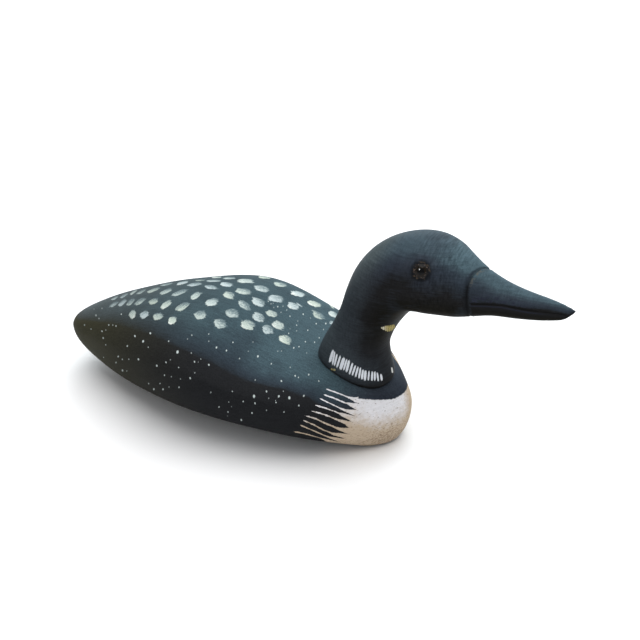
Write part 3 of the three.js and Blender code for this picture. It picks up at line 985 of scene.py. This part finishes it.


# Most where the painted sheen is half on
halfSheenSteps = {
    "unworn": (work, "SUBTRACT", 1, "worn"),
    "between": (work, "MULTIPLY", "worn", "unworn"),
    "halfWorn": (work, "MAXIMUM", "between", 0),
}
# Body paint. Colours are from 0 to 255, places in mm, and textures a scale per mm with a detail. On a spot
# u runs along from -1 to 1 and v across. On the breast along runs from 0 at the left tips of the fan's
# lines to 1 at their right ends, and across counts the lines.
bodyLayers = {
    "zones": ("faded", "sole"),
    "flecks": ("fleckU", "fleckV", "strength"),
    "spots": ("u", "v", "seed"),
    "fan": ("along", "across", "cape"),
}
bodyPaint = {
    "streaks": (noiseAt, (0.05, 0.8, 0.8), 3),
    "grain": (noiseAt, 1.2, 5),
    "blotches": (noiseAt, 0.05, 3),
    "bulge": (noiseAt, 0.22, 1),
    "edge": (noiseAt, 0.9, 2),
    "wave": (noiseAt, 0.35, 3),
    "fine": (noiseAt, 1.5, 2),
    "dashes": (noiseAt, (0.8, 0.6, 1.5), 4),
    "sweeps": (noiseAt, (0.1, 0.1, 1.3), 3),
    "dark": (layPaints, (32, 33, 35), ((51, 50, 37), 1, ("x", -20, -185))),
    # Lighter slate where the skin faces up: painted sheen of the light from above and behind
    "slate": (
        layPaints, (57, 74, 80),
        ((67, 75, 77), 1, ("x", -20, -185)),  # tail
        ((63, 81, 88), 1, ("x", -60, 5)),  # shoulders
        ((62, 71, 79), 1, ("x", 45, 70))),  # cape
    # Share of the painted sheen, made uneven by brush streaks and blotches
    "wear": (addUp, 0, ("faded", 1), ("streaks", 0.3), ("blotches", 0.4)),
    "allWorn": (work, "MAXIMUM", "wear", 0),
    "worn": (multiply, 1, ("allWorn",), ("faded", 0, 0.2)),
    **halfSheenSteps,
    # The dark paint with the painted sheen laid over it
    "coat": (
        layPaints, "dark",
        ("slate", 1, ("worn",)),
        ((37, 40, 53), 1, ("halfWorn",), ("x", -120, 0, 0.6, 1.6))),  # navy tint where the painted sheen is half on
    "brushed": (brighten, "coat", 1, ("streaks", 0.3), ("grain", 1.1), ("blotches", 0.2)),
    "fleckRadius": (radiusOf, "fleckU", "fleckV"),
    "bristle": (noiseOver, 2, ("u", 0.8), ("v", 5), ("seed", 90)),
    "slant": (addUp, -0.3, ("seed", 0.5), ("bulge", 1)),
    "slanted": (work, "MULTIPLY_ADD", "v", "slant", "u"),
    "square": (work, "MULTIPLY", "u", "u"),
    "taper": (addUp, 0.86, ("square", 0.12)),  # widest in the middle
    "tapered": (work, "MULTIPLY", "v", "taper"),
    "boxRadius": (radiusOf, "slanted", "tapered", 3.2),
    "start": (work, "MULTIPLY", "u", -0.5),
    "atEnds": (work, "MAXIMUM", "u", "start"),  # most where the brush was lifted
    "ragged": (work, "MAXIMUM", "atEnds", 0.12),
    "torn": (work, "MULTIPLY", "ragged", "bristle"),
    "spotRadius": (addUp, 0, ("boxRadius", 1), ("torn", 1.1), ("bulge", 0.4), ("edge", 0.5)),
    "spot": (multiply, 1, ("spotRadius", 1.02, 0.85)),
    "thickness": (
        addUp, -0.35, ("v", 0.5), ("u", -0.5), ("bristle", 2.4), ("edge", 2.2), ("seed", 0.9)),
    "hues": (work, "MULTIPLY", "seed", 7),
    "hue": (work, "FRACT", "hues"),
    "fresh": (layPaints, (174, 186, 188), ((176, 186, 174), 1, ("hue",))),
    "spotPaint": (
        layPaints, (112, 128, 131),
        ("fresh", 1, ("thickness", -0.9, 0.6)),
        ((212, 216, 210), 1, ("thickness", 0.7, 1.5))),
    "bristleRelief": (addUp, 0.25, ("bristle", 0.8)),
    "spotRelief": (work, "MULTIPLY", "spot", "bristleRelief"),
    "away": (fromWholeNumber, "across", len(fan["lines"]) - 1),
    "finger": (randomByNumber, "across"),
    "later": (addUp, 0, ("along", 1), ("finger", 0.2)),
    "line": (  # distance from the nearest line less its half width, in lines
        addUp, 0, ("away", 1), ("fine", 0.16), ("wave", 0.2), ("along", -0.05, 0.08, 0.1, -0.095),
        ("later", 0.6, 0.88, 0, -0.26), ("along", 0.8, 1.0, 0, -0.15), ("along", 0.99, 1.04, 0, -9)),
    "farther": (addUp, 0, ("along", 1), ("y", 0, 10, 0, 0.35)),  # on the left the cape cuts in sooner
    "belowCape": (addUp, 0, ("cape", 1), ("fine", 0.5), ("wave", 1.5), ("farther", 0.93, 0.83, 0, 12)),
    "white": (multiply, 1, ("line", 0.035, -0.035), ("belowCape", -0.3, 0.3)),
    "height": (addUp, 0, ("z", 1), ("x", 78, 56, 0, -13), ("wave", -14), ("y", -10, 12, 0, -18)),
    "lowSpecks": (multiply, 1, ("z", 26, 8, 0, 0.14), ("x", 64, 78, 0.4, 1)),
    "specks": (addUp, 0, ("lowSpecks", 1), ("dashes", 1)),
    "breastPaint": (
        layPaints, (222, 221, 224),
        # Lower down, towards the sides and on the left the white turns a darker beige: painted shade
        ((184, 167, 146), 1, ("height", 34, 15)),
        ((104, 82, 62), 0.6, ("specks", 0.1, 0.2))),
    "whitePaint": (brighten, "breastPaint", 0.99, ("sweeps", 0.3), ("streaks", 0.14)),
    "solePaint": (brighten, "dark", 1.2, ("blotches", 1.6)),
    "colour": (
        layPaints, "brushed",
        ((180, 190, 188), 1, ("fleckRadius", 0.95, 0.4), ("strength",)),
        ("spotPaint", 1, ("spot",), ("thickness", -1.2, 0.2, 0.6, 0.97), ("x", -60, -145, 1.0, 0.6)),
        ("whitePaint", 1, ("white",)),
        ("solePaint", 1, ("sole",))),
    "painted": (work, "MAXIMUM", "spot", "white"),
    "roughness": (addUp, 0.52, ("grain", 0.2), ("painted", 0.1)),
    "relief": (addUp, 0, ("streaks", 0.5), ("grain", 0.35), ("spotRelief", 1)),
}
# Head paint. Forward is from the middle of the neck's foot, fromCut from the groove round the bill and eye
# from the axis of the nearer eye.
onBill = ("fromCut", -0.5, 1.5)
headLayers = {
    "zones": ("faded", "deep", "upward"),
    "rims": ("eye", "gap", "forward"),
    "cuts": ("fromCut", "aboveMouth", "z"),
    "strokes": ("u", "v", "tint"),
}
headPaint = {
    "rings": (noiseAt, (0.1, 0.1, 1.1), 3),
    "hatch": (noiseAt, (0.9, 0.12, 0.3), 2),
    "grain": (noiseAt, 1.6, 2),
    "blotches": (noiseAt, 0.06, 3),
    "scuffs": (noiseAt, 0.5, 4),
    "chips": (noiseAt, 0.55, 4),
    "patches": (noiseAt, 0.9, 2),
    "dark": (
        layPaints, (29, 29, 30),
        ((32, 33, 35), 1, ("forward", 40, 20)),  # neck
        ((18, 17, 13), 1, ("upward", -0.1, -0.6))),  # painted shade under the head
    # Lighter slate where the skin faces up: painted sheen of the light from above and behind
    "slate": (
        layPaints, (68, 77, 80),
        ((59, 72, 80), 1, ("forward", 24, 44)),  # crown
        ((71, 89, 97), 1, ("forward", 62, 78)),  # forehead
        ((69, 86, 94), 1, onBill)),
    # Share of the painted sheen, made uneven by rings and blotches
    "wear": (addUp, 0, ("faded", 1), ("rings", 0.2), ("blotches", 0.4)),
    "worn": (work, "MAXIMUM", "wear", 0),
    **halfSheenSteps,
    # The dark paint with the painted sheen laid over it
    "coat": (
        layPaints, "dark",
        ("slate", 1, ("worn",)),
        ((43, 46, 58), 1, ("halfWorn",), ("forward", 20, 44, 1.0, 2.2)),  # navy tint where the painted sheen is half on
        (  # low on the upper half of the bill
            (42, 45, 57), 0.8, ("aboveMouth", 8, 3), ("aboveMouth", 0.6, 1.6), onBill,
            ("scuffs", -0.08, 0.08), ("forward", 128, 108))),
    "crossed": (multiply, 0.8, ("hatch",), ("forward", 48, 60), ("forward", 86, 76)),
    "brushed": (
        brighten, "coat", 1, ("rings", 0.55), ("grain", 0.65), ("hatch", 0.5), ("crossed", 1)),
    "radius": (radiusOf, "u", "v", 3),
    "strokeRadius": (addUp, 0, ("radius", 1), ("grain", 0.6)),
    "stroke": (multiply, 1, ("strokeRadius", 1.1, 0.85)),
    "strokePaint": (layPaints, (222, 226, 232), ((160, 146, 88), 1, ("tint",))),
    "colour": (
        layPaints, "brushed",
        ("dark", 1, onBill, ("aboveMouth", 0.8, 0.4)),  # lower half of the bill
        (  # painted highlight along its lip
            (40, 43, 55), 0.5, ("aboveMouth", -0.5, -0.9), ("aboveMouth", -2.0, -1.3), onBill,
            ("forward", 135, 120)),
        (  # painted shade beside the groove
            (16, 17, 18), 0.7, ("fromCut", -3.2, -1.2), ("fromCut", 2.4, 1.0), ("rings", -0.15, 0.1),
            ("z", 136, 130)),
        (  # rubbed ridge in front of the groove
            (100, 96, 86), 0.5, ("fromCut", 0.2, 0.9), ("fromCut", 2.6, 1.4), ("z", 130, 137),
            ("chips", -0.05, 0.1)),
        ((16, 17, 18), 1, ("deep",), ("z", 130, 137, 0.9, 0.65)),  # painted shade in the cuts
        ((16, 17, 18), 0.7, ("eye", 7.4, 5.2)),
        ((86, 74, 60), 0.6, ("eye", 5.9, 5.0), ("chips", 0, 0.14)),  # chipped rim
        ((120, 98, 62), 0.7, ("gap", 0.75, 0.3), ("forward", 4, -12), ("patches", -0.1, 0.05)),  # seam
        ("strokePaint", 0.93, ("stroke",))),
    "roughness": (addUp, 0.45, ("rings", 0.14), ("stroke", 0.1)),
    "relief": (addUp, 0, ("rings", 0.6), ("grain", 0.25), ("stroke", 0.3)),
}
# Eye glass: a dark iris round the pupil, with the head's paint over the edge. x and y are on the disc.
eyePaint = {
    "wave": (noiseAt, 2.2, 2),
    "chips": (noiseAt, 2.6, 3),
    "angle": (work, "ARCTAN2", "x", "y"),
    "spokes": (noiseOver, 2, ("angle", 9)),
    "iris": (brighten, (24, 18, 10), 1, ("spokes", 1.4)),
    "radius": (radiusOf, "x", "y"),
    "wavyRadius": (addUp, 0, ("radius", 1), ("wave", 0.3)),
    "overpaint": (multiply, 1, ("wavyRadius", 0.7, 0.76)),
    "colour": (
        layPaints, (5, 5, 6),
        ("iris", 1, ("radius", 0.4, 0.6)),
        ((18, 17, 17), 1, ("overpaint",)),
        ((112, 96, 86), 0.55, ("chips", 0, 0.14), ("overpaint",))),
    "roughness": (addUp, 0.12, ("overpaint", 0.5)),
}

reliefDepth = 0.2 * mm
satin = {"Specular IOR Level": 0.01}
glossy = {"Specular IOR Level": 0.05, "Coat Weight": 0.14, "Coat Roughness": 0.03}

dress([bodySkin], "body_paint", bodyLayers, bodyPaint, satin)
dress([headSkin], "head_paint", headLayers, headPaint, satin)
dress([rightEye, leftEye], "eye_glass", {}, eyePaint, glossy)
print("materials made")

# Studio: a pale floor, a large soft light overhead and a cool one behind, where the photograph's window
# was. The sparkle is a small lamp that only shows as a reflection, in the eyes.
studio = {
    "floorSize": 40,
    "floor": {"Base Color": (0.9, 0.9, 0.9, 1), "Roughness": 0.9},
    "sky": {"Color": (0.97, 0.98, 1.0, 1), "Strength": 0.5},
    "lights": {  # place, and values of the light
        "overhead": ((0.1, 0.2, 2.4), {"size": 3.0, "energy": 75, "color": (1, 1, 1)}),
        "window": ((-0.5, 2.6, 1.5), {"size": 2.6, "energy": 60, "color": (0.86, 0.96, 1.0)}),
        "sparkle": ((-0.32, -1.68, 1.19), {"size": 0.4, "energy": 45, "color": (1, 1, 1)}),
    },
}


def makeLight(name, place, values):
    data = bpy.data.lights.new(name, "AREA")
    for key, value in values.items():
        setattr(data, key, value)
    light = bpy.data.objects.new(name, data)
    bpy.context.collection.objects.link(light)
    light.location = place
    light.rotation_euler = (-light.location).to_track_quat("-Z", "Y").to_euler()
    light.visible_camera = False
    light.visible_diffuse = name != "sparkle"


def makeStudio():
    bpy.ops.object.select_all(action="DESELECT")
    bpy.ops.mesh.primitive_plane_add(size=studio["floorSize"], location=(0, 0, 0))
    floor = bpy.context.active_object
    floor.name = "floor"
    material, tree = newMaterial("pale_floor")
    fill(tree.nodes["Principled BSDF"], studio["floor"])
    floor.data.materials.append(material)
    world = bpy.data.worlds.new("soft_sky")
    world.use_nodes = True
    fill(world.node_tree.nodes["Background"], studio["sky"])
    bpy.context.scene.world = world
    for name, (place, values) in studio["lights"].items():
        makeLight(name, place, values)
    bpy.context.scene.view_settings.view_transform = "Standard"


makeStudio()
print("studio set")
